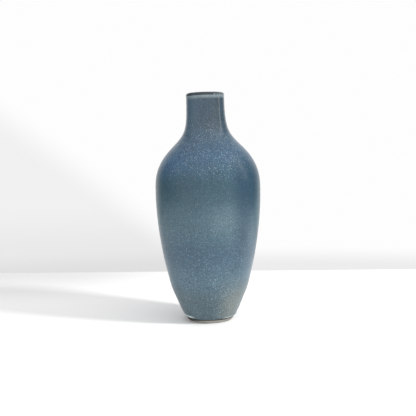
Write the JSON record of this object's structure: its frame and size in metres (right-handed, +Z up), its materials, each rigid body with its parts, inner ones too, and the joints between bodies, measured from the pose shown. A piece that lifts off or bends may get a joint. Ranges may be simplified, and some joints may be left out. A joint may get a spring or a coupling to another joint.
{
  "type": "stoneware vase",
  "caption": "Tall stoneware bottle vase with a speckled blue glaze, dark glazed lip, narrow cylindrical neck, full shoulder, and a bare turned foot ring, to stand on a table and hold stems.",
  "frame": {"origin": "centre of the foot ring's standing face", "axes": "+Z up along the axis of the vase, out of its mouth; +X and +Y are free, because every piece is turned about Z"},
  "size_m": [0.115, 0.115, 0.25],
  "materials": {
    "bare_clay": "matt fired stoneware, fine grog",
    "foot_clay": "matt bare stoneware, turned and sponged",
    "blue_glaze": "glossy speckled blue glaze with soft teal-grey mottling",
    "liner_glaze": "glossy grey-blue glaze",
    "rim_glaze": "glossy dark glaze, thin and broken over the lip"
  },
  "bodies": {
    "root": {"clay_body": "bare_clay", "foot_ring": "foot_clay", "outer_glaze": "blue_glaze", "liner_glaze": "liner_glaze", "rim_glaze": "rim_glaze"}
  },
  "joints": []
}
